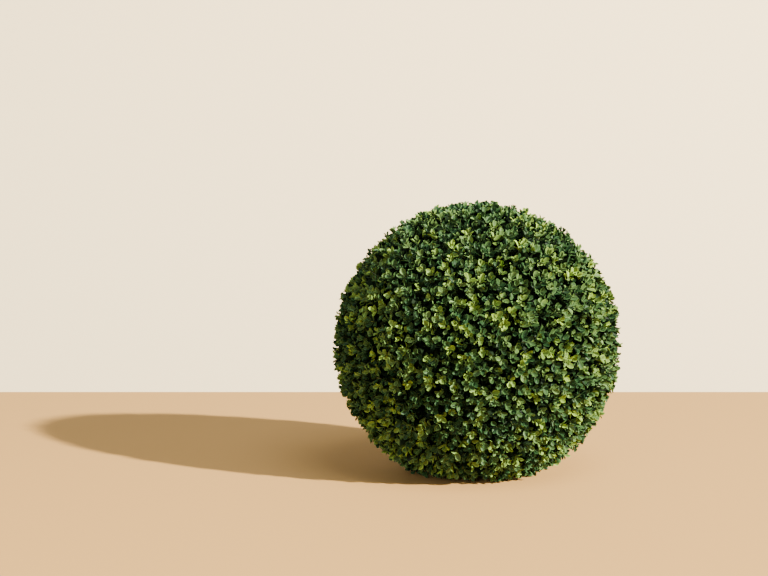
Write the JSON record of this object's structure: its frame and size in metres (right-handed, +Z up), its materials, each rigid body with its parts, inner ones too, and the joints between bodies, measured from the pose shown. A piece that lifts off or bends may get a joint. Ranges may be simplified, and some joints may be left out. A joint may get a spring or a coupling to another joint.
{
  "type": "box topiary ball",
  "caption": "Small-leaved evergreen shrub clipped to a dense ball that touches the ground, on a short stem hidden inside it.",
  "frame": {"origin": "centre of the stem's flat cut at ground level", "axes": "+Z up along the stem, -Y towards the viewer of the picture, +X to the viewer's right"},
  "size_m": [0.4943, 0.4917, 0.4646],
  "materials": {
    "bark": "rough",
    "foliage": "satin leaves"
  },
  "bodies": {
    "root": {"stem": "bark", "foliage_ball": "foliage"}
  },
  "joints": []
}
